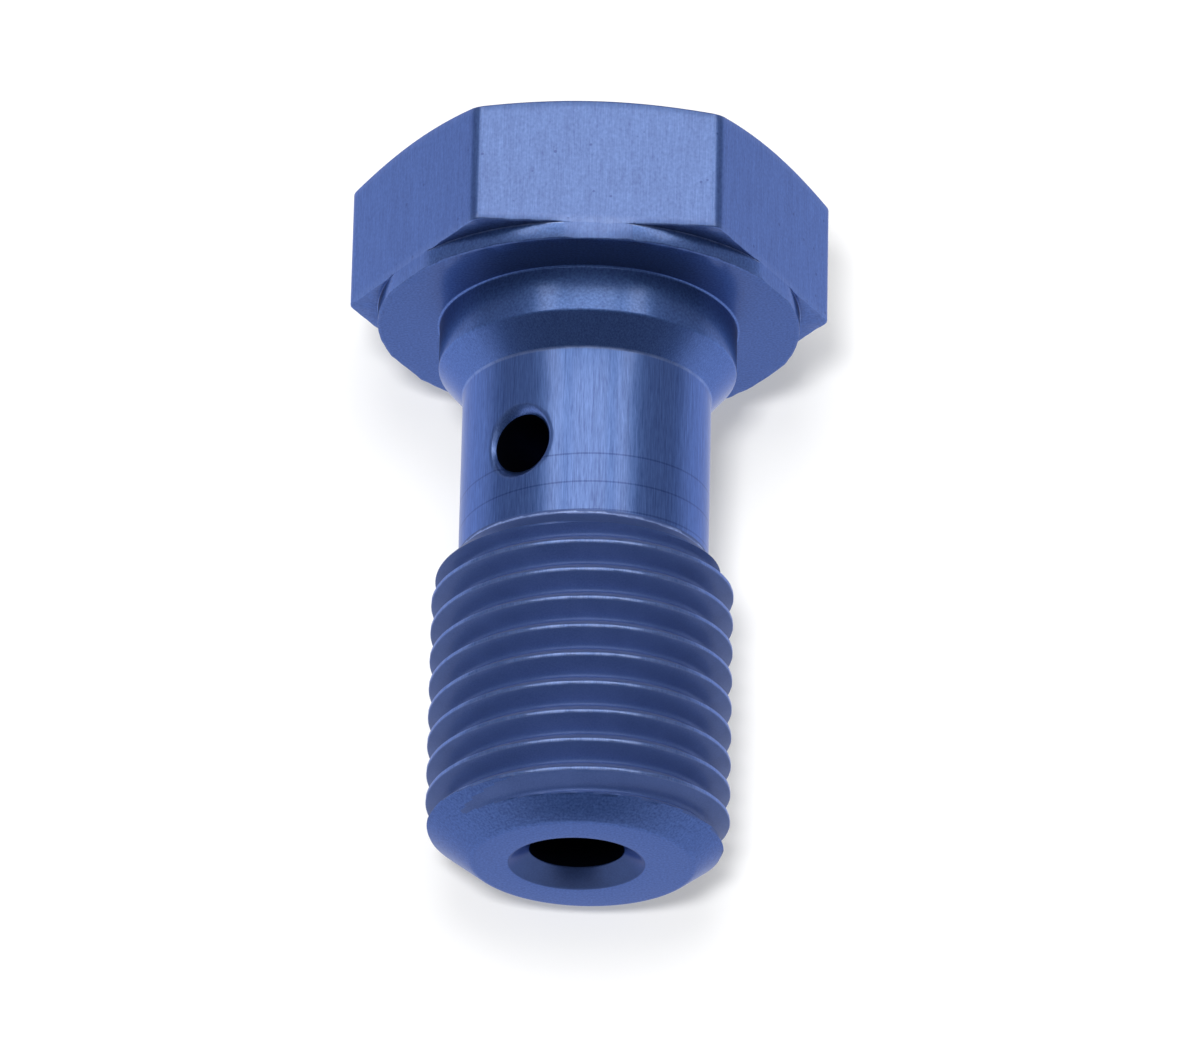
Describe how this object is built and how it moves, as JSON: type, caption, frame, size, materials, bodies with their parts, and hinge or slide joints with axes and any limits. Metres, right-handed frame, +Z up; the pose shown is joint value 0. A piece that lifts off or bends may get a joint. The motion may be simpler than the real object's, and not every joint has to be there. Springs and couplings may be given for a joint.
{
  "type": "banjo bolt",
  "caption": "Hollow banjo bolt with a hexagon head, washer face, locating collar, waisted neck with a cross hole, threaded shank and an axial fluid way from the tip.",
  "frame": {"origin": "on the floor, at the middle of the box that the lying bolt fills", "axes": "+Y towards the head, along the lying bolt, which dips 6.3 degrees towards its tip; +Z up, out of the floor"},
  "size_m": [0.016, 0.0254, 0.0144],
  "materials": {
    "blue_anodised_aluminium": "satin blue anodised over turned and drawn aluminium"
  },
  "bodies": {
    "root": {"banjo_bolt": "blue_anodised_aluminium"}
  },
  "joints": []
}
